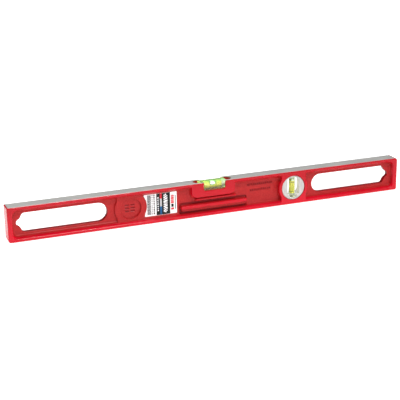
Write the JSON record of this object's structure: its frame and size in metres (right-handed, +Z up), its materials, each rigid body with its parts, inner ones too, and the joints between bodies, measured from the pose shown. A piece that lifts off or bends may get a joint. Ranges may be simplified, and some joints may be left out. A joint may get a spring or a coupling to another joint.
{
  "type": "spirit level",
  "caption": "Moulded red I-section spirit level with hand holes, aluminium measuring edges, a block vial in the top edge and a round plumb vial near one end.",
  "frame": {"origin": "centre of the bottom measuring face", "axes": "+X along the level towards the plumb vial's end, +Y from the labelled front face to the back, +Z up towards the edge with the level vial"},
  "size_m": [0.6, 0.022, 0.05],
  "materials": {
    "red_plastic": "moulded, semi-gloss",
    "aluminium": "milled, satin",
    "white_plastic": "moulded, satin",
    "clear_acrylic": "polished, clear",
    "vial_fluid": "clear fluorescent yellow-green liquid",
    "air": "air bubble",
    "black_ink": "fine dark lines",
    "setting_compound": "cast setting compound",
    "label_film": null
  },
  "bodies": {
    "level": {"body": "red_plastic", "top_sole_left": "aluminium", "top_sole_right": "aluminium", "bottom_sole": "aluminium", "side_label": "label_film", "level_vial_block": "clear_acrylic", "level_vial_bed": "setting_compound", "level_vial_plug": "clear_acrylic", "level_fluid": "vial_fluid", "level_ring_left": "black_ink", "level_ring_right": "black_ink", "plumb_housing": "white_plastic", "plumb_vial_tube": "clear_acrylic", "plumb_vial_plug": "clear_acrylic", "plumb_fluid": "vial_fluid", "plumb_ring_upper": "black_ink", "plumb_ring_lower": "black_ink"},
    "level_bubble": {"level_bubble": "air"},
    "plumb_bubble": {"plumb_bubble": "air"}
  },
  "joints": [
    {"name": "level_bubble_slide", "type": "slide", "parent": "level", "child": "level_bubble", "axis": [1, 0, 0], "range_m": [-0.008, 0.009], "stiffness_N_per_m": 20},
    {"name": "plumb_bubble_slide", "type": "slide", "parent": "level", "child": "plumb_bubble", "axis": [0, 0, 1], "range_m": [-0.0167, 0], "stiffness_N_per_m": 20}
  ]
}
